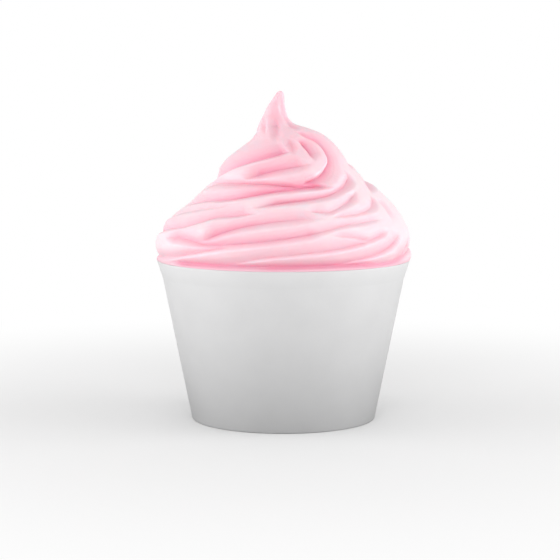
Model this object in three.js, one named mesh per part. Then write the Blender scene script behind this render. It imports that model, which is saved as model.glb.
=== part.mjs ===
// A swirl of strawberry frozen yogurt in a plain white paper cup.
// Millimetres, +Z up. The origin is the centre of the circle that the cup stands on.
// Three pieces: the paper sleeve of the cup, the paper disc held in its foot, and the yogurt.
import * as THREE from "three";
import { mergeVertices } from "three/addons/utils/BufferGeometryUtils.js";

// ---------------------------------------------------------------- driving dimensions
const CUP_HEIGHT = 61.5;
const RIM_RADIUS = 48.1; // outermost reach of the rolled rim
const RIM_ROLL = 0.9; // radius of the roll
const FLARE_START = 55; // height where the sleeve starts to flare out to the rim
const MOUTH_RADIUS = 47.5; // outer face of the sleeve, were it to run on straight to the top
const FOOT_RADIUS = 35.1; // outer face of the sleeve at the table
const BOARD = 0.5; // thickness of the paper board
const GAP = 0.3; // clearance between neighbouring pieces
const FOLD_HEIGHT = 6.2; // how far the sleeve's hem is turned up inside the foot
const HEM_ROUND = 0.35; // rounding of the folded hem
const BASE_UNDERSIDE = 7.0; // height of the disc's lower face above the table
const SEAM_ANGLE = 90; // degrees, the side seam is at the back
const SEAM_WIDTH = 7.5; // width of the sleeve's overlap
const SEAM_STEP = 0.35; // how far the overlap stands out
const CUP_SEGMENTS = 60;

const TIP_HEIGHT = 125; // top of the pulled peak
const SWIRL_COLUMNS = 60;
const SWIRL_ROWS = 80;
const LIP_ARC = 2.1; // length of the lip that lies over the rim, which no crease cuts
const LIP_FADE = 2.4; // stretch above the lip where the creases come in
const PEAK_FADE_RADIUS = 8; // creases get shallower where the body is thinner than this
const PROBE = 0.2; // how far off, up and down the outline, its slope is read

// Outline of the swirl from the rim to the tip, as radius and height.
const OUTLINE = [
  [46.6, 61.75], [47.2, 61.85], [47.9, 61.7], [48.3, 61.3], [48.5, 61.6], [48.75, 63.2], [48.95, 66.5],
  [48.4, 70.2], [46.7, 74.2], [43.5, 78], [39.5, 81.8], [35.7, 85.4], [32.4, 88.6], [28.7, 92.2],
  [25.6, 96], [22.5, 99.7], [18.8, 103.2], [15.1, 106.4], [12.8, 108.6], [9.9, 110.7], [7.2, 112.2],
  [5.5, 114], [4.4, 116.2], [3.5, 118.6], [2.5, 121.2], [1.7, 123.4], [1, 124.6], [0, TIP_HEIGHT],
];

// The swirl leans: height, and the sideways place of its middle there.
const LEAN = [
  [60, 0], [72, 0.3], [76, 0.6], [79, 1.6], [82, 2.5], [86, 2.8], [90, 2.7], [93, 2], [96, 1.1], [98, 1.1],
  [101, 1.6], [104, 2.3], [106.5, 2.7], [108, 2.3], [109.3, 1.6], [111, -0.5], [112.3, -2.3],
  [114.2, -3.1], [117, -3], [120, -2.5], [123, -1.6], [TIP_HEIGHT, -1.1],
];

const GENTLE = 9; // how wide the strand on the left of a crease's path rounds into it
const STEEP = 1.9; // how wide the strand on the right drops into it
const TIP_WIDTH = 0.4; // how wide a crease still is at its ends, as a share
const FLATTEST = 0.4; // creases are cut level, and no longer than where the body rises this steeply
const PATH_STEPS = 8; // steps between two points of a crease
const CURVE_STEPS = 16; // steps between two points of the outline and the lean

// A crease between two strands. It runs through points of angle (degrees, -90 is the front, 0 the
// right) and height. depth is that of its first and its last stretch, and fade how long it takes to
// come and to go. roundness 1 gives a sharp bottom, 2 a soft one.
function crease(points, depth, fade, gentle = GENTLE, steep = STEEP, roundness = 1) {
  return { path: spline(points, PATH_STEPS), depth, fade, gentle, steep, roundness };
}

// A soft valley, alike on both sides.
function flute(points, depth, fade, width) {
  return crease(points, depth, fade, width, width, 2);
}

const CREASES = [
  // top turn
  crease([[-215, 83.5], [-178, 90.6], [-161, 93.9], [-136, 97.9], [-108, 100.7], [-84, 103]],
         [2.0, 2.8], [24, 6], 11),
  crease([[-132, 91], [-124, 93], [-108, 95.1], [-90, 96.6], [-76, 97.4], [-64, 98.8]],
         [3.7, 2.0], [11, 8], 9, 4),
  crease([[-190, 86], [-165, 90], [-141, 90.7], [-118, 91], [-98, 90.4], [-80, 89.6]],
         [0.8, 3.4], [16, 6], 5, 5),
  // second turn
  crease([[-195, 79.5], [-156, 84], [-135, 85], [-116, 86.9], [-99, 88.4], [-79, 89.5], [-56, 90]],
         [1.0, 4.8], [24, 9], 10),
  crease([[-114, 82.6], [-97, 84.3], [-79, 85.5], [-64, 86.9], [-51, 89], [-42, 90.6], [-35, 92.4],
          [-33, 94.6], [-34, 97]], [3.2, 2.0], [11, 9], 6),
  crease([[-84, 82.3], [-75, 81.5], [-69, 81.2], [-63, 82.3], [-56, 83.8], [-50, 85.2], [-45, 87],
          [-42, 89.4]], [1.2, 2.2], [6, 8], 6),
  crease([[-70, 79.9], [-54, 80.2], [-42, 81.3], [-34, 82.9], [-31, 84.8], [-31, 88]],
         [1.2, 1.8], [7, 8], 6),
  // third turn
  crease([[-205, 73], [-168, 79], [-150, 81.2], [-136, 82.6], [-122, 84.2]], [0.9, 0.9], [20, 8], 6, 3),
  crease([[-228, 63], [-184, 70.6], [-164, 73.4], [-147, 75.3], [-131, 79], [-118, 80], [-104, 81.6]],
         [1.4, 2.4], [30, 10], 9),
  crease([[-135, 70.4], [-128, 71.7], [-122, 73.9], [-112, 76.2], [-99, 78], [-86, 79], [-68, 79.8]],
         [3.8, 1.4], [11, 14], 8, 4),
  crease([[-158, 70.9], [-146, 71.1], [-137, 70.6], [-128, 69.6], [-118, 70], [-99, 71.6], [-84, 73.2],
          [-70, 74.6]], [2.6, 2.6], [8, 8], 7, 3),
  crease([[-84, 73], [-61, 76.6], [-50, 77.3], [-34, 78.4]], [1.8, 1.2], [5, 8], 7),
  // bottom turn
  crease([[-205, 61.8], [-168, 63.2], [-146, 64.6], [-135, 66.2], [-123, 68.3], [-112, 69.6]],
         [0.8, 2.4], [20, 7], 5),
  crease([[-150, 61.6], [-121, 62.8], [-109, 64.2], [-99, 65.8], [-84, 67.2], [-65, 68.8], [-47, 71]],
         [1.6, 2.0], [10, 6], 7),
  crease([[-72, 74.2], [-60, 72.9], [-52, 71.6], [-49, 71.1], [-45, 71.7], [-38, 73], [-33, 75]],
         [1.2, 2.2], [8, 8], 5),
  crease([[-104, 62.1], [-83, 62.6], [-66, 63.2], [-50, 65.2], [-38, 67.4], [-31, 69.4], [-27, 71.5],
          [-25, 74.5]], [2.4, 2.0], [8, 8], 7),
  crease([[-60, 62.4], [-38, 62.2], [-25, 63.2], [-18, 66], [-15, 69], [-14.5, 73]],
         [2.0, 1.8], [8, 8], 5),
  crease([[-152, 62.3], [-120, 62.7], [-80, 62.9], [-40, 62.6]], [2.4, 3.0], [10, 14], 4, 2.4),
  flute([[-28, 86], [-24, 83], [-24, 80], [-28, 77]], [0.8, 0.8], [5, 5], 3.6),
  // the curl, the notch beside it, and the edge of the strand round them
  crease([[-86, 107.4], [-77, 106.1], [-70, 104.2], [-65, 102], [-62, 98.8]],
         [1.9, 2.7], [6, 4.5], 5.5, 1.8),
  flute([[-83, 101], [-87, 103.6], [-91, 105.4], [-98, 108]], [1.6, 1.0], [4, 5], 2.8),
  crease([[-76, 110.6], [-61, 108], [-50, 106.8], [-44, 105], [-42, 102], [-45, 98.4], [-56, 95],
          [-70, 92.4], [-84, 90.6]], [1.6, 3.4], [5, 5], 6.5, 2.6),
  // the peak's flutes
  flute([[-108, 121], [-93, 117], [-91, 114], [-99, 112], [-110, 110.3], [-114, 108.5], [-113, 105.5]],
        [1.6, 1.0], [8, 5], 3.4),
  flute([[-57, 122.6], [-48, 119], [-40, 116], [-34, 113.6], [-55, 111.4], [-76, 110.4]],
        [1.2, 1.0], [4, 4], 2),
  flute([[-149, 117], [-138, 113], [-138, 108.5]], [0.6, 0.6], [4, 4], 1.9),
];

// Behind, where the strands carry on, they follow one rule: every turn has the same creases, each a
// third of a turn long, turned on from the turn below.
const BACK_TURNS = [[62.4, 72.8], [68.5, 84.5], [77.5, 92.5], [87, 99.5], [95.5, 106.5]];
const BACK_FIRST = -36;
const BACK_STEP = 47;
const BACK_LENGTH = 112;
const BACK_LIMIT = 196;
const BACK_STAGGER = 19;
const BACK_MOST = 8; // creases in a turn at most
const BACK_FADE = [11, 15];

// ---------------------------------------------------------------- small helpers
const radians = THREE.MathUtils.degToRad;

function lerpTable(table, at, keyIndex, valueIndex) {
  if (at <= table[0][keyIndex]) return table[0][valueIndex];
  for (let i = 1; i < table.length; i += 1) {
    const a = table[i - 1];
    const b = table[i];
    if (at <= b[keyIndex]) {
      const t = (at - a[keyIndex]) / (b[keyIndex] - a[keyIndex]);
      return a[valueIndex] + (b[valueIndex] - a[valueIndex]) * t;
    }
  }
  return table[table.length - 1][valueIndex];
}

function spline(points, perSpan) {
  const knots = points.map(([x, y]) => new THREE.Vector3(x, y, 0));
  const curve = new THREE.CatmullRomCurve3(knots, false, "catmullrom", 0.5);
  return curve.getPoints(perSpan * (points.length - 1)).map((p) => [p.x, p.y]);
}

// An even, repeatable scatter between -1 and 1.
const scatter = (n) => Math.sin(12.9898 * n + 4.1);

// A closed skin from rings of points that all have the same count: ring after ring, and the last
// ring joins the first (hollow ring) or both ends close on one point each (full body).
function skin(rings, { ends }) {
  const columns = rings[0].length;
  const positions = rings.flat(2);
  const index = [];
  const quad = (a, b, c, d) => index.push(a, b, c, a, c, d);
  const last = ends ? rings.length - 1 : rings.length;
  for (let i = 0; i < last; i += 1) {
    const low = i * columns;
    const high = ((i + 1) % rings.length) * columns;
    for (let j = 0; j < columns; j += 1) {
      const k = (j + 1) % columns;
      quad(low + j, low + k, high + k, high + j);
    }
  }
  if (ends) {
    const [bottom, top] = ends;
    positions.push(...bottom, ...top);
    const low = rings.length * columns;
    const high = low + 1;
    const topRing = (rings.length - 1) * columns;
    for (let j = 0; j < columns; j += 1) {
      const k = (j + 1) % columns;
      index.push(low, k, j);
      index.push(high, topRing + j, topRing + k);
    }
  }
  const geometry = new THREE.BufferGeometry();
  geometry.setAttribute("position", new THREE.Float32BufferAttribute(positions, 3));
  geometry.setIndex(index);
  return mergeVertices(geometry, 1e-4);
}

function piece(name, geometry, color, roughness) {
  geometry.computeVertexNormals();
  const material = new THREE.MeshStandardMaterial({ color, roughness, metalness: 0 });
  const mesh = new THREE.Mesh(geometry, material);
  mesh.name = name;
  return mesh;
}

// ---------------------------------------------------------------- the cup
const sleeveOuter = (z) => FOOT_RADIUS + ((MOUTH_RADIUS - FOOT_RADIUS) * z) / CUP_HEIGHT;
const sleeveInner = (z) => sleeveOuter(z) - BOARD;

// The slot in the folded foot that takes the disc's skirt.
const SLOT_OUTER = sleeveInner(0);
const SKIRT_OUTER = SLOT_OUTER - GAP;
const SKIRT_INNER = SKIRT_OUTER - BOARD;
const SLOT_INNER = SKIRT_INNER - GAP;
const LEAF_INNER = SLOT_INNER - BOARD;
const SLOT_FLOOR = BOARD;

// Section of the sleeve, from the slot's floor up the inside, over the roll, down the outside and
// round the hem. "step" is how far the outer face stands out here.
function sleeveSection(step) {
  const rollCentre = [RIM_RADIUS - RIM_ROLL, CUP_HEIGHT - RIM_ROLL];
  const roll = (degrees) => [
    rollCentre[0] + RIM_ROLL * Math.cos(radians(degrees)),
    rollCentre[1] + RIM_ROLL * Math.sin(radians(degrees)),
  ];
  return [
    [SLOT_OUTER, SLOT_FLOOR],
    [sleeveInner(CUP_HEIGHT - RIM_ROLL), CUP_HEIGHT - RIM_ROLL],
    ...[100, 70, 45, 20, 0, -20].map(roll),
    [sleeveOuter(FLARE_START) + 0.1, FLARE_START],
    [sleeveOuter(FLARE_START - 0.6) + step, FLARE_START - 0.6],
    [sleeveOuter(HEM_ROUND) + step, HEM_ROUND],
    [FOOT_RADIUS - HEM_ROUND * 0.3 + step, HEM_ROUND * 0.3],
    [FOOT_RADIUS - HEM_ROUND, 0],
    [LEAF_INNER + HEM_ROUND, 0],
    [LEAF_INNER, HEM_ROUND],
    [LEAF_INNER, FOLD_HEIGHT],
    [SLOT_INNER, FOLD_HEIGHT],
    [SLOT_INNER, SLOT_FLOOR],
  ].reverse();
}

// Turns a section, which may change with the angle, about the Z axis.
function turned(sectionAt, angles) {
  const sections = angles.map(sectionAt);
  const rings = sections[0].map((_, i) =>
    sections.map((section, j) => {
      const [r, z] = section[i];
      return [r * Math.cos(radians(angles[j])), r * Math.sin(radians(angles[j])), z];
    }),
  );
  return rings;
}

function cupWall() {
  const seamHalf = THREE.MathUtils.radToDeg(SEAM_WIDTH / 2 / MOUTH_RADIUS);
  const edge = 0.4; // degrees, the step's own width
  const even = Array.from({ length: CUP_SEGMENTS }, (_, i) => -180 + ((i + 0.5) * 360) / CUP_SEGMENTS);
  const clear = even.filter((a) => Math.abs(a - SEAM_ANGLE) > seamHalf + 1);
  const seam = [-seamHalf, -seamHalf + edge, 0, seamHalf - edge, seamHalf].map((a) => SEAM_ANGLE + a);
  const angles = [...clear, ...seam].sort((a, b) => a - b);
  const onSeam = (a) => Math.abs(a - SEAM_ANGLE) < seamHalf - edge / 2;
  const rings = turned((a) => sleeveSection(onSeam(a) ? SEAM_STEP : 0), angles);
  return piece("cup_wall", skin(rings, {}), 0xe9e9ea, 0.62);
}

function cupBase() {
  const top = BASE_UNDERSIDE + BOARD;
  const section = [
    [SKIRT_OUTER - 1.5, top],
    [SKIRT_OUTER - 0.4, top],
    [SKIRT_OUTER, top - 0.4],
    [SKIRT_OUTER, SLOT_FLOOR + GAP],
    [SKIRT_INNER, SLOT_FLOOR + GAP],
    [SKIRT_INNER, BASE_UNDERSIDE - 0.3],
    [SKIRT_INNER - 0.3, BASE_UNDERSIDE],
  ].reverse();
  const angles = Array.from({ length: CUP_SEGMENTS }, (_, i) => (i * 360) / CUP_SEGMENTS);
  const rings = turned(() => section, angles);
  const ends = [[0, 0, BASE_UNDERSIDE], [0, 0, top]];
  return piece("cup_base", skin(rings, { ends }), 0xe6e6e7, 0.65);
}

// ---------------------------------------------------------------- the yogurt
const outline = spline(OUTLINE, CURVE_STEPS);
const arcs = [0];
for (let i = 1; i < outline.length; i += 1) {
  const step = Math.hypot(outline[i][0] - outline[i - 1][0], outline[i][1] - outline[i - 1][1]);
  arcs.push(arcs[i - 1] + step);
}
const ARC_LENGTH = arcs[arcs.length - 1];
const outlineTable = outline.map(([r, z], i) => [arcs[i], r, z]);
const lean = spline(LEAN, CURVE_STEPS);
const arcAtHeight = (z) => lerpTable(outlineTable, z, 2, 0);
const radiusAt = (arc) => lerpTable(outlineTable, arc, 0, 1);
const heightAt = (arc) => lerpTable(outlineTable, arc, 0, 2);
const leanAt = (z) => lerpTable(lean, z, 0, 1);

function backCreases() {
  const creases = [];
  BACK_TURNS.forEach(([low, high], turn) => {
    for (let i = 0; i < BACK_MOST; i += 1) {
      const n = BACK_MOST * turn + i;
      const start = BACK_FIRST + i * BACK_STEP + (turn % 3) * BACK_STAGGER + 5 * scatter(n);
      const length = BACK_LENGTH + 14 * scatter(n + 50);
      if (start + length > BACK_LIMIT) break;
      const middle = THREE.MathUtils.lerp(low, high, 0.4 + 0.06 * scatter(n + 20));
      const late = THREE.MathUtils.lerp(low, high, 0.72 + 0.04 * scatter(n + 30));
      const points = [
        [start, low],
        [start + 0.5 * length, middle],
        [start + 0.85 * length, late],
        [start + length, high],
      ];
      const depth = [1.9 + 0.3 * scatter(n + 90), 2.8 + 0.4 * scatter(n + 70)];
      creases.push(crease(points, depth, BACK_FADE));
    }
  });
  return creases;
}

// A crease's path as angle in radians and arc up the outline, with the length walked so far.
function laidOut({ path, ...rest }) {
  const points = path.map(([degrees, z]) => [radians(degrees), arcAtHeight(z)]);
  const walked = [0];
  for (let i = 1; i < points.length; i += 1) {
    const [a, s] = points[i];
    const [a0, s0] = points[i - 1];
    const r = radiusAt((s + s0) / 2);
    walked.push(walked[i - 1] + Math.hypot((a - a0) * r, s - s0));
  }
  return { ...rest, points, walked };
}

// How deep one crease cuts at a place on the body.
function cut({ points, walked, depth, fade, gentle, steep, roundness }, angle, arc, radius) {
  let nearest = Infinity;
  let side = 0;
  let along = 0;
  for (let i = 1; i < points.length; i += 1) {
    const [a0, s0] = points[i - 1];
    const [a1, s1] = points[i];
    const turn = THREE.MathUtils.euclideanModulo(angle - a0 + Math.PI, 2 * Math.PI) - Math.PI;
    const x = radius * turn;
    const y = arc - s0;
    const ex = radius * (a1 - a0);
    const ey = s1 - s0;
    const t = THREE.MathUtils.clamp((x * ex + y * ey) / (ex * ex + ey * ey + 1e-9), 0, 1);
    const dx = x - t * ex;
    const dy = y - t * ey;
    const distance = Math.hypot(dx, dy);
    if (distance < nearest) {
      nearest = distance;
      side = ex * dy - ey * dx;
      along = walked[i - 1] + t * (walked[i] - walked[i - 1]);
    }
  }
  const length = walked[walked.length - 1];
  const [fadeIn, fadeOut] = fade.map((f) => Math.min(f, 0.45 * length));
  const presence =
    THREE.MathUtils.smoothstep(along, 0, fadeIn) * THREE.MathUtils.smoothstep(length - along, 0, fadeOut);
  const width = (side > 0 ? gentle : steep) * THREE.MathUtils.lerp(TIP_WIDTH, 1, presence);
  const deep = THREE.MathUtils.lerp(...depth, along / length);
  return deep * presence * Math.max(0, 1 - (nearest / width) ** roundness) ** 2;
}

function swirlRings() {
  const creases = [...CREASES, ...backCreases()].map(laidOut);
  const rings = [];
  for (let i = 0; i < SWIRL_ROWS; i += 1) {
    const arc = (ARC_LENGTH * i) / SWIRL_ROWS;
    const radius = radiusAt(arc);
    const height = heightAt(arc);
    const ahead = Math.min(arc + PROBE, ARC_LENGTH);
    const behind = Math.max(arc - PROBE, 0);
    const rise = heightAt(ahead) - heightAt(behind);
    const slope = Math.hypot(radiusAt(ahead) - radiusAt(behind), rise);
    const thin = Math.min(1, radius / PEAK_FADE_RADIUS);
    const lip = THREE.MathUtils.smoothstep(arc, LIP_ARC, LIP_ARC + LIP_FADE);
    const level = THREE.MathUtils.clamp(rise / slope, FLATTEST, 1);
    const ring = [];
    for (let j = 0; j < SWIRL_COLUMNS; j += 1) {
      const angle = (j / SWIRL_COLUMNS) * 2 * Math.PI - Math.PI;
      const cubes = creases.reduce((sum, c) => sum + cut(c, angle, arc, Math.max(radius, 2)) ** 3, 0);
      const r = radius - (Math.cbrt(cubes) * thin * lip) / level;
      ring.push([leanAt(height) + r * Math.cos(angle), r * Math.sin(angle), height]);
    }
    rings.push(ring);
  }
  return rings;
}

// The part of the yogurt that fills the cup, as plain rings from its floor to the mouth.
function fillRings() {
  const floor = BASE_UNDERSIDE + BOARD + GAP;
  const heights = [floor + 0.8, 20, 33, 46, CUP_HEIGHT - RIM_ROLL - 0.2];
  const radii = heights.map((z) => sleeveInner(z) - GAP);
  const edge = [[radii[0] - 0.8, floor], ...heights.map((z, i) => [radii[i], z])];
  return edge.map(([r, z]) =>
    Array.from({ length: SWIRL_COLUMNS }, (_, j) => {
      const angle = (j / SWIRL_COLUMNS) * 2 * Math.PI - Math.PI;
      return [r * Math.cos(angle), r * Math.sin(angle), z];
    }),
  );
}

function frozenYogurt() {
  const rings = [...fillRings(), ...swirlRings()];
  const ends = [
    [0, 0, BASE_UNDERSIDE + BOARD + GAP],
    [leanAt(TIP_HEIGHT), 0, TIP_HEIGHT],
  ];
  return piece("frozen_yogurt", skin(rings, { ends }), 0xf9c9d6, 0.5);
}

// ---------------------------------------------------------------- the whole
const model = new THREE.Group();
model.add(cupWall());
model.add(cupBase());
model.add(frozenYogurt());

export default model;
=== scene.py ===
import math
from collections import namedtuple

import bpy
import numpy as np
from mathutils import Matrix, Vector


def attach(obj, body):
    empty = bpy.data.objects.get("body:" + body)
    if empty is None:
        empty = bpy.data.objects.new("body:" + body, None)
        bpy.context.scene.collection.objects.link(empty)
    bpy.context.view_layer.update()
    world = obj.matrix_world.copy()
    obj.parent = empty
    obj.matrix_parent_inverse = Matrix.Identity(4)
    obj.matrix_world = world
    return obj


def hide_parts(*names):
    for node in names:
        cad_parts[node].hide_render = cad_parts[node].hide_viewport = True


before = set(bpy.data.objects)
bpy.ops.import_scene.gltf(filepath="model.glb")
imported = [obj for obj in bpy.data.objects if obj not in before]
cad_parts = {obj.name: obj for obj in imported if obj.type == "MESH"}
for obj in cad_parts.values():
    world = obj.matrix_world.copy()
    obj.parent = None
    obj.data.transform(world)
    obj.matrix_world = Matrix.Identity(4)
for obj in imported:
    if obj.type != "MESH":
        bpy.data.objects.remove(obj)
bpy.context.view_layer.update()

MM = 0.001  # metres in a millimetre

# ---------------------------------------------------------------- studio, in metres and watts
WHITE = (1, 1, 1)
FLOOR_RADIUS = 1.5
FLOOR_SIDES = 96
FLOOR_ROUGHNESS = 0.9
FLOOR_COLOR = (0.85, 0.85, 0.85)  # as the camera sees it
FLOOR_BOUNCE_PAINTED_SHADOW = [(0, (0.1, 0.1, 0.1)), (1, (0.75, 0.75, 0.75))]  # as it lights the cup: a painted shadow, dark near the cup and paler far from it
PAINTED_SHADOW_BLEND = (0.03, 0.14)  # distances from the cup over which that painted shadow fades out
FLOOR_BLEND = (0.07, 0.30)  # distances between which the floor turns into the white background
WORLD_FILL = 0.72  # strength of the even light from all around
# Name, place, target, size, power and colour.
SOFTBOXES = [
    ("overhead", (0.00, 0.15, 0.75), (0, 0, 0.08), 0.55, 0.2, (1, 0.98, 0.96)),
    ("front", (-0.10, -0.75, 0.17), (0, 0, 0.07), 0.50, 2.3, WHITE),
    ("right", (0.60, -0.05, 0.12), (0, 0, 0.06), 0.45, 2.3, WHITE),
    ("left", (-0.60, -0.02, 0.12), (0, 0, 0.06), 0.45, 1.85, WHITE),
]
CAMERA_PLACE = (-0.00131, -0.7, 0.1307)
CAMERA_DOWN = 6.34  # degrees that it looks down
LENS = 118.3  # millimetres, as is the sensor's width
SENSOR = 36

# ---------------------------------------------------------------- looks
# A ramp's stops are how far it has gone, and the colour there.
# Painted shade: the yogurt's colour goes from the pale crests to a deeper, darker pink where the
# surface is sunk in the creases.
YOGURT_SHADE_STOPS = [
    (0.0, (0.86, 0.69, 0.735)),
    (0.15, (0.86, 0.625, 0.685)),
    (0.4, (0.86, 0.55, 0.62)),
    (1.0, (0.86, 0.37, 0.49)),
]
PAPER_STOPS = [(0.35, (0.675, 0.675, 0.678)), (0.95, (0.705, 0.705, 0.708))]
FULL_SHADE_DEPTH = 3.2  # how deep, in millimetres, a crease is sunk where its painted shade, the deeper pink, is full
PEAK_PAINTED_SHADE = (90, 108, 0.9)  # painted shade: between these heights the swirl is darkened to a deeper pink, as if sunk so much deeper
LIP_PAINTED_SHADE = (2.6, 5.0, 1.3)  # painted shade at the lip where it rests on the rim, as if sunk so much deeper, fading out between these places up the outline
THIN_LIP = (1.8, 5.0)  # between these places up the outline light starts to spread in the yogurt
SPREAD = 0.0026  # how far light spreads in the yogurt, in metres
SPREAD_COLOR = (1.0, 0.45, 0.5)  # and the share of that for red, green and blue
YOGURT_SHINE = 0.25  # where 0.5 is usual

# Noise: its cells in a metre, and how finely it is detailed.
STREAKS = (22.0, 2.0)  # along the strands
GRAIN = (1300.0, 3.0)
FIBRES = (1500.0, 4.0)
CLOUDS = (90.0, 2.0)
STREAKS_PER_MM = 0.75  # across the strands
FIBRE_TWIST = 0.6
STREAK_SHADE = 0.24  # share of the ramp that a streak shifts the colour
FIBRE_SHADE = 0.3  # how much the fibres count in the paper's colour, against the clouds
GRAIN_RELIEF = 0.35  # how much the grain counts in the yogurt's relief, against the streaks
YOGURT_ROUGHNESS = (0.2, 0.42)  # how much the grain adds, and what it is without
PAPER_ROUGHNESS = (0.2, 0.4)  # how much the fibres add, and what it is without
YOGURT_BUMP = (0.5, 0.6)  # millimetres, and strength
PAPER_BUMP = (0.05, 0.5)

# ---------------------------------------------------------------- the cup's sizes, in millimetres
CUP_HEIGHT = 61.5
RIM_RADIUS = 48.1  # outermost reach of the rolled rim
RIM_ROLL = 0.9  # radius of the roll
ROLL_PLACES = range(100, -20, -12)  # degrees on the roll, from the inside over the top
FLARE_START = 55.0  # height where the sleeve starts to flare out to the rim
FLARE_EDGE = (0.1, 0.6)  # how far it stands out there, and how far below it is straight
MOUTH_RADIUS = 47.5  # outer face of the sleeve, were it to run on straight to the top
FOOT_RADIUS = 35.1  # outer face of the sleeve at the table
BOARD = 0.5  # thickness of the paper board
GAP = 0.3  # clearance between neighbouring pieces
FOLD_HEIGHT = 6.2  # how far the sleeve's hem is turned up inside the foot
HEM_ROUND = 0.35  # rounding of the folded hem
HEM_MIDDLE = 0.3  # how far in the middle of that rounding is, as a share of it
BASE_UNDERSIDE = 7.0  # height of the disc's lower face above the table
DISC_ROUND = 0.4  # rounding of the disc's upper edge
DISC_RING = 1.5  # how far in from its edge the disc's flat top has a ring of its own
DISC_CORNER = 0.3  # rounding of the corner between its skirt and its lower face
SEAM_ANGLE = 90.0  # degrees, the side seam is at the back
SEAM_WIDTH = 7.5  # width of the sleeve's overlap
SEAM_STEP = 0.35  # how far the overlap stands out
SEAM_EDGE = 0.35  # degrees that the step at the overlap's edge takes
SHARP_EDGE = 35  # degrees between the faces at an edge of the board that shows as an edge
CUP_SEGMENTS = 240

# The slot in the folded foot that takes the disc's skirt.
SLOT_OUTER = FOOT_RADIUS - BOARD
SKIRT_OUTER = SLOT_OUTER - GAP
SKIRT_INNER = SKIRT_OUTER - BOARD
SLOT_INNER = SKIRT_INNER - GAP
LEAF_INNER = SLOT_INNER - BOARD
SLOT_FLOOR = BOARD
DISC_TOP = BASE_UNDERSIDE + BOARD

# ---------------------------------------------------------------- the yogurt's sizes, in millimetres
FILL_FLOOR = DISC_TOP + GAP
FILL_ROUND = 0.8  # rounding of the lower edge
FILL_HEIGHTS = (20, 33, 46)
FILL_TOP = CUP_HEIGHT - RIM_ROLL - 0.2  # just under the middle of the rim's roll

TIP_HEIGHT = 125.0  # top of the pulled peak
SWIRL_COLUMNS = 360
SWIRL_ROWS = 250
LIP_ARC = 1.6  # length of the lip that lies over the rim, which no crease cuts
LIP_FADE = 2.2  # stretch above the lip where the creases come in
PEAK_FADE_RADIUS = 8.0  # creases get shallower where the body is thinner than this
THINNEST = 2.0  # creases are laid out as if the body were never thinner than this
PROBE = 0.2  # how far off, up and down the outline, its slope is read
FLATTEST = 0.4  # creases are cut level, and no longer than where the body rises this steeply

# Outline of the swirl from the rim to the tip, as radius and height.
OUTLINE = [
    (46.6, 61.45), (47.2, 61.55), (47.9, 61.4), (48.2, 61.0), (48.35, 61.4), (48.7, 63.2),
    (48.95, 66.5), (48.4, 70.2), (46.7, 74.2), (43.5, 78.0), (39.5, 81.8), (35.7, 85.4),
    (32.4, 88.6), (28.7, 92.2), (25.6, 96.0), (22.5, 99.7), (18.8, 103.2), (15.1, 106.4),
    (12.8, 108.6), (9.9, 110.7), (7.2, 112.2), (5.5, 114.0), (4.4, 116.2), (3.5, 118.6),
    (2.5, 121.2), (1.7, 123.4), (1.0, 124.6), (0.0, TIP_HEIGHT),
]
# The swirl leans: height, and the sideways place of its middle there.
LEAN = [
    (60, 0), (72, 0.3), (76, 0.6), (79, 1.6), (82, 2.5), (86, 2.8), (90, 2.7), (93, 2), (96, 1.1),
    (98, 1.1), (101, 1.6), (104, 2.3), (106.5, 2.7), (108, 2.3), (109.3, 1.6), (111, -0.5),
    (112.3, -2.3), (114.2, -3.1), (117, -3), (120, -2.5), (123, -1.6), (TIP_HEIGHT, -1.1),
]
CURVE_STEPS = 16  # steps between two points of the outline and the lean
PATH_STEPS = 8  # steps between two points of a crease

GENTLE = 9.0  # how wide the strand on the left of a crease's path rounds into it
STEEP = 1.9  # how wide the strand on the right drops into it
TIP_WIDTH = 0.4  # how wide a crease still is at its ends, as a share
MOST_FADE = 0.45  # share of a crease's length that it takes to come or to go, at most
FAR = 12.0  # how much further off a crease counts where it has faded out
TINY = 1e-9  # keeps a step of no length from a division by zero


# ---------------------------------------------------------------- creases
Crease = namedtuple("Crease", "path depth fade gentle steep roundness")


def spline(points, steps):
    """A smooth curve through the points, with so many steps from one to the next."""
    p = np.array(points, float)
    p = np.vstack([2 * p[0] - p[1], p, 2 * p[-1] - p[-2]])
    t = np.linspace(0, 1, steps, endpoint=False)[:, None]
    spans = []
    for a, b, c, d in zip(p, p[1:], p[2:], p[3:]):
        square = 2 * a - 5 * b + 4 * c - d
        cube = 3 * b - a - 3 * c + d
        spans.append(b + 0.5 * ((c - a) * t + square * t**2 + cube * t**3))
    return np.vstack([*spans, p[-2]])


def crease(points, depth, fade, gentle=GENTLE, steep=STEEP, roundness=1):
    """A crease between two strands. It runs through points of angle (degrees, -90 is the front, 0
    the right) and height. depth is that of its first and its last stretch, and fade how long it
    takes to come and to go. roundness 1 gives a sharp bottom, 2 a soft one."""
    return Crease(spline(points, PATH_STEPS), depth, fade, gentle, steep, roundness)


def flute(points, depth, fade, width):
    """A soft valley, alike on both sides."""
    return crease(points, depth, fade, width, width, 2)


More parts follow.
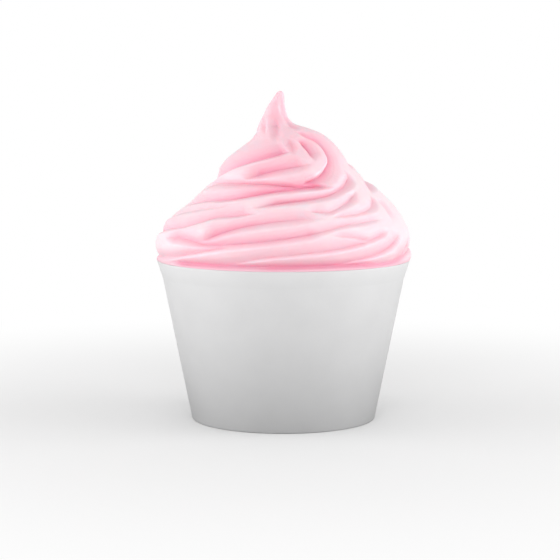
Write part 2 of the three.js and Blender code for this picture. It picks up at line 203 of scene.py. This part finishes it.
# The creases in front and at the sides, turn by turn, and those of the peak.
SHOWN_CREASES = [
    # top turn
    crease([(-215, 83.5), (-178, 90.6), (-161, 93.9), (-136, 97.9), (-108, 100.7), (-84, 103)],
           (2.0, 2.8), (24, 6), 11),
    crease([(-132, 91), (-124, 93), (-108, 95.1), (-90, 96.6), (-76, 97.4), (-64, 98.8)],
           (3.7, 2.0), (11, 8), 9, 4),
    crease([(-190, 86), (-165, 90), (-141, 90.7), (-118, 91), (-98, 90.4), (-80, 89.6)],
           (0.8, 3.4), (16, 6), 5, 5),
    # second turn
    crease([(-195, 79.5), (-156, 84), (-135, 85), (-116, 86.9), (-99, 88.4), (-79, 89.5), (-56, 90)],
           (1.0, 4.8), (24, 9), 10),
    crease([(-114, 82.6), (-97, 84.3), (-79, 85.5), (-64, 86.9), (-51, 89), (-42, 90.6), (-35, 92.4),
            (-33, 94.6), (-34, 97)], (3.2, 2.0), (11, 9), 6),
    crease([(-84, 82.3), (-75, 81.5), (-69, 81.2), (-63, 82.3), (-56, 83.8), (-50, 85.2), (-45, 87),
            (-42, 89.4)], (1.2, 2.2), (6, 8), 6),
    crease([(-70, 79.9), (-54, 80.2), (-42, 81.3), (-34, 82.9), (-31, 84.8), (-31, 88)],
           (1.2, 1.8), (7, 8), 6),
    # third turn
    crease([(-205, 73), (-168, 79), (-150, 81.2), (-136, 82.6), (-122, 84.2)],
           (0.9, 0.9), (20, 8), 6, 3),
    crease([(-228, 63), (-184, 70.6), (-164, 73.4), (-147, 75.3), (-131, 79), (-118, 80),
            (-104, 81.6)], (1.4, 2.4), (30, 10), 9),
    crease([(-135, 70.4), (-128, 71.7), (-122, 73.9), (-112, 76.2), (-99, 78), (-86, 79),
            (-68, 79.8)], (3.8, 1.4), (11, 14), 8, 4),
    crease([(-158, 70.9), (-146, 71.1), (-137, 70.6), (-128, 69.6), (-118, 70), (-99, 71.6),
            (-84, 73.2), (-70, 74.6)], (2.6, 2.6), (8, 8), 7, 3),
    crease([(-84, 73), (-61, 76.6), (-50, 77.3), (-34, 78.4)], (1.8, 1.2), (5, 8), 7),
    # bottom turn
    crease([(-205, 61.8), (-168, 63.2), (-146, 64.6), (-135, 66.2), (-123, 68.3), (-112, 69.6)],
           (0.8, 2.4), (20, 7), 5),
    crease([(-150, 61.6), (-121, 62.8), (-109, 64.2), (-99, 65.8), (-84, 67.2), (-65, 68.8),
            (-47, 71)], (1.6, 2.0), (10, 6), 7),
    crease([(-72, 74.2), (-60, 72.9), (-52, 71.6), (-49, 71.1), (-45, 71.7), (-38, 73), (-33, 75)],
           (1.2, 2.2), (8, 8), 5),
    crease([(-104, 62.1), (-83, 62.6), (-66, 63.2), (-50, 65.2), (-38, 67.4), (-31, 69.4),
            (-27, 71.5), (-25, 74.5)], (2.4, 2.0), (8, 8), 7),
    crease([(-60, 62.4), (-38, 62.2), (-25, 63.2), (-18, 66), (-15, 69), (-14.5, 73)],
           (2.0, 1.8), (8, 8), 5),
    crease([(-152, 62.3), (-120, 62.7), (-80, 62.9), (-40, 62.6)], (2.4, 3.0), (10, 14), 4, 2.4),
    flute([(-28, 86), (-24, 83), (-24, 80), (-28, 77)], (0.8, 0.8), (5, 5), 3.6),
    # the curl, the notch beside it, and the edge of the strand round them
    crease([(-86, 107.4), (-77, 106.1), (-70, 104.2), (-65, 102), (-62, 98.8)],
           (1.9, 2.7), (6, 4.5), 5.5, 1.8),
    flute([(-83, 101), (-87, 103.6), (-91, 105.4), (-98, 108)], (1.1, 0.8), (4, 5), 2.8),
    crease([(-76, 110.6), (-61, 108), (-50, 106.8), (-44, 105), (-42, 102), (-45, 98.4), (-56, 95),
            (-70, 92.4), (-84, 90.6)], (1.6, 3.4), (5, 5), 6.5, 2.6),
    # the peak's flutes
    flute([(-108, 121), (-93, 117), (-91, 114), (-99, 112), (-110, 110.3), (-114, 108.5),
           (-113, 105.5)], (1.3, 0.8), (8, 5), 3.4),
    flute([(-57, 122.6), (-48, 119), (-40, 116), (-34, 113.6), (-55, 111.4), (-76, 110.4)],
          (1.2, 1.0), (4, 4), 2),
    flute([(-149, 117), (-138, 113), (-138, 108.5)], (0.45, 0.45), (4, 4), 1.9),
]

# Behind, where the strands carry on, the creases follow one rule: each turn has so many from its
# lower to its upper height, one a step of degrees after the other, and every turn starts staggered.
# A quantity with three numbers is its value, how far that is scattered, and the scatter's number.
BACK_TURNS = [(62.4, 72.8), (68.5, 84.5), (77.5, 92.5), (87.0, 99.5), (95.5, 106.5)]
BACK_FIRST = -36
BACK_STEP = 47
BACK_STAGGER = 19
BACK_ALIKE = 3  # every third turn starts alike
BACK_START_SCATTER = (5, 0)
BACK_LENGTH = (112, 14, 50)
BACK_LIMIT = 196  # degrees that no crease passes
BACK_MOST = 8  # creases in a turn at most
BACK_FADE = (11, 15)
BACK_DEPTHS = [(1.9, 0.3, 90), (2.8, 0.4, 70)]
# Places between a crease's ends, as a share of its length and of its rise.
BACK_BENDS = [(0.5, (0.4, 0.06, 20)), (0.85, (0.72, 0.04, 30))]


def scattered(n, value, spread, number):
    """A value moved by an even, repeatable scatter of at most its spread."""
    return value + spread * math.sin(12.9898 * (n + number) + 4.1)


def back_creases():
    creases = []
    for turn, (low, high) in enumerate(BACK_TURNS):
        first = BACK_FIRST + (turn % BACK_ALIKE) * BACK_STAGGER
        for i in range(BACK_MOST):
            n = BACK_MOST * turn + i
            start = scattered(n, first + i * BACK_STEP, *BACK_START_SCATTER)
            length = scattered(n, *BACK_LENGTH)
            if start + length > BACK_LIMIT:
                break
            points = [(start, low)]
            for share, rise in BACK_BENDS:
                points.append((start + share * length, low + (high - low) * scattered(n, *rise)))
            points.append((start + length, high))
            depth = [scattered(n, *d) for d in BACK_DEPTHS]
            creases.append(crease(points, depth, BACK_FADE))
    return creases


# ---------------------------------------------------------------- the swirl's surface
def walked(across, up):
    """The length walked at each point of a path, from its steps."""
    return np.concatenate([[0], np.cumsum(np.hypot(across, up))])


OUTLINE_CURVE = spline(OUTLINE, CURVE_STEPS)
OUTLINE_ARC = walked(*np.diff(OUTLINE_CURVE, axis=0).T)
LEAN_CURVE = spline(LEAN, CURVE_STEPS)
AROUND = np.linspace(-np.pi, np.pi, SWIRL_COLUMNS, endpoint=False)


def radius_at(arc):
    return np.interp(arc, OUTLINE_ARC, OUTLINE_CURVE[:, 0])


def height_at(arc):
    return np.interp(arc, OUTLINE_ARC, OUTLINE_CURVE[:, 1])


def arc_at(height):
    return np.interp(height, OUTLINE_CURVE[:, 1], OUTLINE_ARC)


def middle_at(height):
    return np.interp(height, LEAN_CURVE[:, 0], LEAN_CURVE[:, 1])


def smoothstep(x, a, b):
    t = np.clip((x - a) / (b - a), 0, 1)
    return t * t * (3 - 2 * t)


def steepness(arc):
    """The rise of the outline for each step along it, and at least FLATTEST."""
    ahead = np.clip(arc + PROBE, 0, OUTLINE_ARC[-1])
    behind = np.clip(arc - PROBE, 0, None)
    run = radius_at(ahead) - radius_at(behind)
    rise = height_at(ahead) - height_at(behind)
    return np.clip(rise / np.hypot(run, rise), FLATTEST, 1)


def cut(valley, angle, arc, radius):
    """How deep one crease cuts at every place of the grid, and how far off it is from there."""
    angles = np.radians(valley.path[:, 0])
    arcs = arc_at(valley.path[:, 1])
    between = radius_at((arcs[1:] + arcs[:-1]) / 2)
    lengths = walked(np.diff(angles) * between, np.diff(arcs))
    nearest = np.full(angle.shape, np.inf)
    side = np.zeros(angle.shape)
    along = np.zeros(angle.shape)
    for i in range(len(angles) - 1):
        x = radius * ((angle - angles[i] + np.pi) % (2 * np.pi) - np.pi)
        y = arc - arcs[i]
        step_x = radius * (angles[i + 1] - angles[i])
        step_y = arcs[i + 1] - arcs[i]
        t = np.clip((x * step_x + y * step_y) / (step_x * step_x + step_y * step_y + TINY), 0, 1)
        off_x = x - t * step_x
        off_y = y - t * step_y
        distance = np.hypot(off_x, off_y)
        closer = distance < nearest
        nearest = np.where(closer, distance, nearest)
        side = np.where(closer, step_x * off_y - step_y * off_x, side)
        along = np.where(closer, lengths[i] + t * (lengths[i + 1] - lengths[i]), along)
    length = lengths[-1]
    fade_in, fade_out = np.minimum(valley.fade, MOST_FADE * length)
    presence = smoothstep(along, 0, fade_in) * smoothstep(length - along, 0, fade_out)
    width = np.where(side > 0, valley.gentle, valley.steep) * (TIP_WIDTH + (1 - TIP_WIDTH) * presence)
    first, last = valley.depth
    depth = first + (last - first) * along / length
    sunk = depth * presence * np.clip(1 - (nearest / width) ** valley.roundness, 0, None) ** 2
    return sunk, nearest + FAR * (1 - presence)


def swirl_rings():
    """Rings of points from the lip to just under the tip, and three values for each point: its
    painted shade, a deeper pink that follows how deep it is sunk and is added towards the peak and at
    the lip, how far it is from the nearest crease, and whether the yogurt is thick enough there for
    light to spread in it."""
    angle, arc = np.meshgrid(AROUND, OUTLINE_ARC[-1] * np.arange(SWIRL_ROWS) / SWIRL_ROWS)
    radius = radius_at(arc)
    height = height_at(arc)
    cuts = [cut(c, angle, arc, np.maximum(radius, THINNEST)) for c in SHOWN_CREASES + back_creases()]
    sunk = np.cbrt(sum(depth**3 for depth, off in cuts)) * np.minimum(1, radius / PEAK_FADE_RADIUS)
    lip = smoothstep(arc, LIP_ARC, LIP_ARC + LIP_FADE)
    r = radius - sunk * lip / steepness(arc)
    rings = np.stack([middle_at(height) + r * np.cos(angle), r * np.sin(angle), height], -1)
    peak_start, peak_end, peak_shade = PEAK_PAINTED_SHADE
    lip_start, lip_end, lip_shade = LIP_PAINTED_SHADE
    # painted shade: a deeper pink towards the peak
    painted_shade = sunk + peak_shade * smoothstep(height, peak_start, peak_end)
    # painted shade: a deeper pink at the lip over the rim
    painted_shade += lip_shade * (1 - smoothstep(arc, lip_start, lip_end))
    beside = np.min([off for depth, off in cuts], axis=0)
    return rings, {"painted_shade": painted_shade, "beside": beside, "thick": smoothstep(arc, *THIN_LIP)}


# ---------------------------------------------------------------- turned sections
def sleeve_outer(z):
    return FOOT_RADIUS + (MOUTH_RADIUS - FOOT_RADIUS) * z / CUP_HEIGHT


def sleeve_inner(z):
    return sleeve_outer(z) - BOARD


def fill_section():
    """Radius and height of the yogurt inside the cup, from its floor to the mouth."""
    side = [(sleeve_inner(z) - GAP, z) for z in (FILL_FLOOR + FILL_ROUND, *FILL_HEIGHTS, FILL_TOP)]
    return [(side[0][0] - FILL_ROUND, FILL_FLOOR), *side]


def on_roll(degrees):
    turn = math.radians(degrees)
    middle = (RIM_RADIUS - RIM_ROLL, CUP_HEIGHT - RIM_ROLL)
    return middle[0] + RIM_ROLL * math.cos(turn), middle[1] + RIM_ROLL * math.sin(turn)


def sleeve_section(step):
    """Radius and height of the sleeve, from the slot's floor up the inside, over the roll, down the
    outside and round the hem. step is how far the outer face stands out here."""
    flare, below = FLARE_EDGE
    straight = FLARE_START - below
    return [
        (SLOT_OUTER, SLOT_FLOOR),
        (sleeve_inner(CUP_HEIGHT - RIM_ROLL), CUP_HEIGHT - RIM_ROLL),
        *map(on_roll, ROLL_PLACES),
        (sleeve_outer(FLARE_START) + flare, FLARE_START),
        (sleeve_outer(straight) + step, straight),
        (sleeve_outer(HEM_ROUND) + step, HEM_ROUND),
        (FOOT_RADIUS - HEM_ROUND * HEM_MIDDLE + step, HEM_ROUND * HEM_MIDDLE),
        (FOOT_RADIUS - HEM_ROUND, 0),
        (LEAF_INNER + HEM_ROUND, 0),
        (LEAF_INNER, HEM_ROUND),
        (LEAF_INNER, FOLD_HEIGHT),
        (SLOT_INNER, FOLD_HEIGHT),
        (SLOT_INNER, SLOT_FLOOR),
    ][::-1]


def disc_section():
    """Radius and height of the disc, from its flat top over its edge and round its skirt."""
    return [
        (SKIRT_OUTER - DISC_RING, DISC_TOP),
        (SKIRT_OUTER - DISC_ROUND, DISC_TOP),
        (SKIRT_OUTER, DISC_TOP - DISC_ROUND),
        (SKIRT_OUTER, SLOT_FLOOR + GAP),
        (SKIRT_INNER, SLOT_FLOOR + GAP),
        (SKIRT_INNER, BASE_UNDERSIDE - DISC_CORNER),
        (SKIRT_INNER - DISC_CORNER, BASE_UNDERSIDE),
    ][::-1]


def turned(sections, angles):
    """Rings of points from sections of radius and height, one section for each angle."""
    radius, height = np.array(sections, float).transpose(2, 1, 0)
    return np.stack([radius * np.cos(angles), radius * np.sin(angles), height], -1)


def skin(rings, ends=()):
    """Points and faces of a body closed by one point at each end, or of a ring if there are none."""
    count, columns = rings.shape[:2]
    points = [tuple(p) for p in rings.reshape(-1, 3)]
    neighbours = [(j, (j + 1) % columns) for j in range(columns)]
    faces = []
    for i in range(count - 1 if ends else count):
        low = i * columns
        high = ((i + 1) % count) * columns
        faces += [(low + j, low + k, high + k, high + j) for j, k in neighbours]
    if ends:
        points += ends
        bottom = count * columns
        top_ring = bottom - columns
        faces += [(bottom, k, j) for j, k in neighbours]
        faces += [(bottom + 1, top_ring + j, top_ring + k) for j, k in neighbours]
    return points, faces


# ---------------------------------------------------------------- nodes
def new_material(name):
    material = bpy.data.materials.new(name)
    material.use_nodes = True
    nodes = material.node_tree.nodes
    return material, nodes, material.node_tree.links, nodes["Principled BSDF"]


def object_place(nodes):
    return nodes.new("ShaderNodeTexCoord").outputs["Object"]


def attribute(nodes, name):
    node = nodes.new("ShaderNodeAttribute")
    node.attribute_name = name
    return node.outputs["Fac"]


def noise(nodes, place, scale, detail, kind="3D"):
    texture = nodes.new("ShaderNodeTexNoise")
    texture.noise_dimensions = kind
    texture.inputs["Scale"].default_value = scale
    texture.inputs["Detail"].default_value = detail
    nodes.id_data.links.new(place, texture.inputs["Vector"])
    return texture


def add_scaled(nodes, value, factor, base):
    """value * factor + base, where base is a number or a socket."""
    node = nodes.new("ShaderNodeMath")
    node.operation = "MULTIPLY_ADD"
    nodes.id_data.links.new(value, node.inputs[0])
    node.inputs[1].default_value = factor
    if isinstance(base, (int, float)):
        node.inputs[2].default_value = base
    else:
        nodes.id_data.links.new(base, node.inputs[2])
    return node.outputs["Value"]


def ease(nodes, value, between):
    """0 to 1 as a value goes from one number to another."""
    node = nodes.new("ShaderNodeMapRange")
    node.interpolation_type = "SMOOTHSTEP"
    node.inputs["From Min"].default_value, node.inputs["From Max"].default_value = between
    nodes.id_data.links.new(value, node.inputs["Value"])
    return node.outputs["Result"]


def add_ramp(nodes, factor, stops, socket):
    ramp = nodes.new("ShaderNodeValToRGB")
    elements = ramp.color_ramp.elements
    while len(elements) < len(stops):
        elements.new(0.5)
    for element, (position, color) in zip(elements, stops):
        element.position = position
        element.color = (*color, 1)
    nodes.id_data.links.new(factor, ramp.inputs["Fac"])
    nodes.id_data.links.new(ramp.outputs["Color"], socket)


def add_bump(nodes, height, millimetres, strength, shader):
    bump = nodes.new("ShaderNodeBump")
    bump.inputs["Distance"].default_value = millimetres * MM
    bump.inputs["Strength"].default_value = strength
    nodes.id_data.links.new(height, bump.inputs["Height"])
    nodes.id_data.links.new(bump.outputs["Normal"], shader.inputs["Normal"])


def mix_shaders(nodes, factor, first, second, output):
    mix = nodes.new("ShaderNodeMixShader")
    links = nodes.id_data.links
    links.new(factor, mix.inputs["Fac"])
    links.new(first, mix.inputs[1])
    links.new(second, mix.inputs[2])
    links.new(mix.outputs["Shader"], output.inputs["Surface"])


# ---------------------------------------------------------------- materials
def yogurt_material():
    """Pale on the crests, with painted shade as a deeper pink in the creases, towards the peak and at
    the lip, and faint streaks along the strands and the fine grain of ice in the surface."""
    material, nodes, links, shader = new_material("yogurt")
    shader.inputs["Specular IOR Level"].default_value = YOGURT_SHINE
    links.new(attribute(nodes, "thick"), shader.inputs["Subsurface Weight"])
    shader.inputs["Subsurface Radius"].default_value = SPREAD_COLOR
    shader.inputs["Subsurface Scale"].default_value = SPREAD
    place = object_place(nodes)
    streaks = noise(nodes, place, *STREAKS, kind="4D")
    across = add_scaled(nodes, attribute(nodes, "beside"), STREAKS_PER_MM / STREAKS[0], 0.0)
    links.new(across, streaks.inputs["W"])
    streak = streaks.outputs["Fac"]
    grain = noise(nodes, place, *GRAIN).outputs["Fac"]
    # painted shade: the deeper pink follows how deep the surface is sunk
    depth = add_scaled(nodes, attribute(nodes, "painted_shade"), 1 / FULL_SHADE_DEPTH, -STREAK_SHADE / 2)
    shade = add_scaled(nodes, streak, STREAK_SHADE, depth)
    add_ramp(nodes, shade, YOGURT_SHADE_STOPS, shader.inputs["Base Color"])
    links.new(add_scaled(nodes, grain, *YOGURT_ROUGHNESS), shader.inputs["Roughness"])
    add_bump(nodes, add_scaled(nodes, grain, GRAIN_RELIEF, streak), *YOGURT_BUMP, shader)
    return material


def paper_material():
    """White board with faint fibres in the sheet and in its coating."""
    material, nodes, links, shader = new_material("paper")
    place = object_place(nodes)
    fibres = noise(nodes, place, *FIBRES)
    fibres.inputs["Distortion"].default_value = FIBRE_TWIST
    fibre = fibres.outputs["Fac"]
    cloud = noise(nodes, place, *CLOUDS).outputs["Fac"]
    shade = add_scaled(nodes, fibre, FIBRE_SHADE, cloud)
    add_ramp(nodes, shade, PAPER_STOPS, shader.inputs["Base Color"])
    links.new(add_scaled(nodes, fibre, *PAPER_ROUGHNESS), shader.inputs["Roughness"])
    add_bump(nodes, fibre, *PAPER_BUMP, shader)
    return material


def floor_material():
    """Pale where the camera sees it, turning into the white of the background well away from the
    cup. The light that it throws back on the cup is weaker from close by, from a painted shadow round
    the cup's foot."""
    material, nodes, links, shader = new_material("floor")
    seen = nodes.new("ShaderNodeLightPath").outputs["Is Camera Ray"]
    length = nodes.new("ShaderNodeVectorMath")
    length.operation = "LENGTH"
    links.new(object_place(nodes), length.inputs[0])
    distance = length.outputs["Value"]
    color = nodes.new("ShaderNodeMix")
    color.data_type = "RGBA"
    links.new(seen, color.inputs["Factor"])
    # painted shadow: the floor's colour for the light it throws back is dark close to the cup
    add_ramp(nodes, ease(nodes, distance, PAINTED_SHADOW_BLEND), FLOOR_BOUNCE_PAINTED_SHADOW, color.inputs["A"])
    color.inputs["B"].default_value = (*FLOOR_COLOR, 1)
    links.new(color.outputs["Result"], shader.inputs["Base Color"])
    shader.inputs["Roughness"].default_value = FLOOR_ROUGHNESS
    away = nodes.new("ShaderNodeMath")
    away.operation = "MULTIPLY"
    links.new(ease(nodes, distance, FLOOR_BLEND), away.inputs[0])
    links.new(seen, away.inputs[1])
    white = nodes.new("ShaderNodeEmission").outputs["Emission"]
    mix_shaders(nodes, away.outputs["Value"], shader.outputs["BSDF"], white, nodes["Material Output"])
    return material


# ---------------------------------------------------------------- pieces
def add_object(name, data):
    added = bpy.data.objects.new(name, data)
    bpy.context.scene.collection.objects.link(added)
    return added


def new_piece(name, points, faces, material, node):
    mesh = bpy.data.meshes.new(name)
    mesh.from_pydata([(x * MM, y * MM, z * MM) for x, y, z in points], [], faces)
    mesh.shade_smooth()
    mesh.materials.append(material)
    piece = add_object(name, mesh)
    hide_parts(node)
    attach(piece, "root")
    return piece


def make_yogurt():
    swirl, shades = swirl_rings()
    fill = turned([fill_section()] * SWIRL_COLUMNS, AROUND)
    ends = [(0, 0, FILL_FLOOR), (middle_at(TIP_HEIGHT), 0, TIP_HEIGHT)]
    points, faces = skin(np.concatenate([fill, swirl]), ends)
    piece = new_piece("yogurt_swirl", points, faces, yogurt_material(), "frozen_yogurt")
    first = len(fill) * SWIRL_COLUMNS
    for name, shade in shades.items():
        values = np.zeros(len(points))
        values[first : first + shade.size] = shade.ravel()
        piece.data.attributes.new(name, "FLOAT", "POINT").data.foreach_set("value", values)


def make_cup():
    """The sleeve, whose overlap stands out at the seam, and the disc in its foot."""
    half = math.degrees(SEAM_WIDTH / 2 / MOUTH_RADIUS)
    seam = SEAM_ANGLE + np.array([-half, SEAM_EDGE - half, half - SEAM_EDGE, half])
    even = np.linspace(-180, 180, CUP_SEGMENTS, endpoint=False)
    clear = even[np.abs(even[:, None] - seam).min(axis=1) > SEAM_EDGE]
    degrees = np.sort(np.concatenate([clear, seam]))
    angles = np.radians(degrees)
    raised = np.abs(degrees - SEAM_ANGLE) < half - SEAM_EDGE / 2
    points, faces = skin(turned([sleeve_section(SEAM_STEP if r else 0) for r in raised], angles))
    sleeve = new_piece("cup_sleeve", points, faces, paper_material(), "cup_wall")
    ends = [(0, 0, BASE_UNDERSIDE), (0, 0, DISC_TOP)]
    points, faces = skin(turned([disc_section()] * len(angles), angles), ends)
    disc = new_piece("cup_disc", points, faces, paper_material(), "cup_base")
    for piece in (sleeve, disc):
        piece.data.set_sharp_from_angle(angle=math.radians(SHARP_EDGE))


# ---------------------------------------------------------------- studio
def make_stage():
    turns = np.linspace(0, 2 * math.pi, FLOOR_SIDES, endpoint=False)
    corners = [(FLOOR_RADIUS * math.cos(a), FLOOR_RADIUS * math.sin(a), 0) for a in turns]
    mesh = bpy.data.meshes.new("floor")
    mesh.from_pydata(corners, [], [range(FLOOR_SIDES)])
    mesh.materials.append(floor_material())
    add_object("floor", mesh)


def make_world():
    """Even light from all around, and a plain white background."""
    world = bpy.data.worlds.new("studio")
    world.use_nodes = True
    nodes = world.node_tree.nodes
    fill = nodes["Background"]
    fill.inputs["Color"].default_value = (*WHITE, 1)
    fill.inputs["Strength"].default_value = WORLD_FILL
    backdrop = nodes.new("ShaderNodeBackground")
    backdrop.inputs["Color"].default_value = (*WHITE, 1)
    seen = nodes.new("ShaderNodeLightPath").outputs["Is Camera Ray"]
    shaders = [node.outputs["Background"] for node in (fill, backdrop)]
    mix_shaders(nodes, seen, *shaders, nodes["World Output"])
    bpy.context.scene.world = world


def make_lights():
    for name, place, target, size, power, color in SOFTBOXES:
        light = bpy.data.lights.new(name, "AREA")
        light.size = size
        light.energy = power
        light.color = color
        lamp = add_object(name, light)
        lamp.location = place
        aim = Vector(target) - Vector(place)
        lamp.rotation_euler = aim.to_track_quat("-Z", "Y").to_euler()


def make_camera():
    data = bpy.data.cameras.new("camera")
    data.lens = LENS
    data.sensor_width = SENSOR
    camera = add_object("camera", data)
    camera.location = CAMERA_PLACE
    camera.rotation_euler = (math.radians(90 - CAMERA_DOWN), 0, 0)
    bpy.context.scene.camera = camera


make_yogurt()
make_cup()
make_stage()
make_world()
make_lights()
make_camera()
bpy.context.scene.view_settings.view_transform = "Standard"
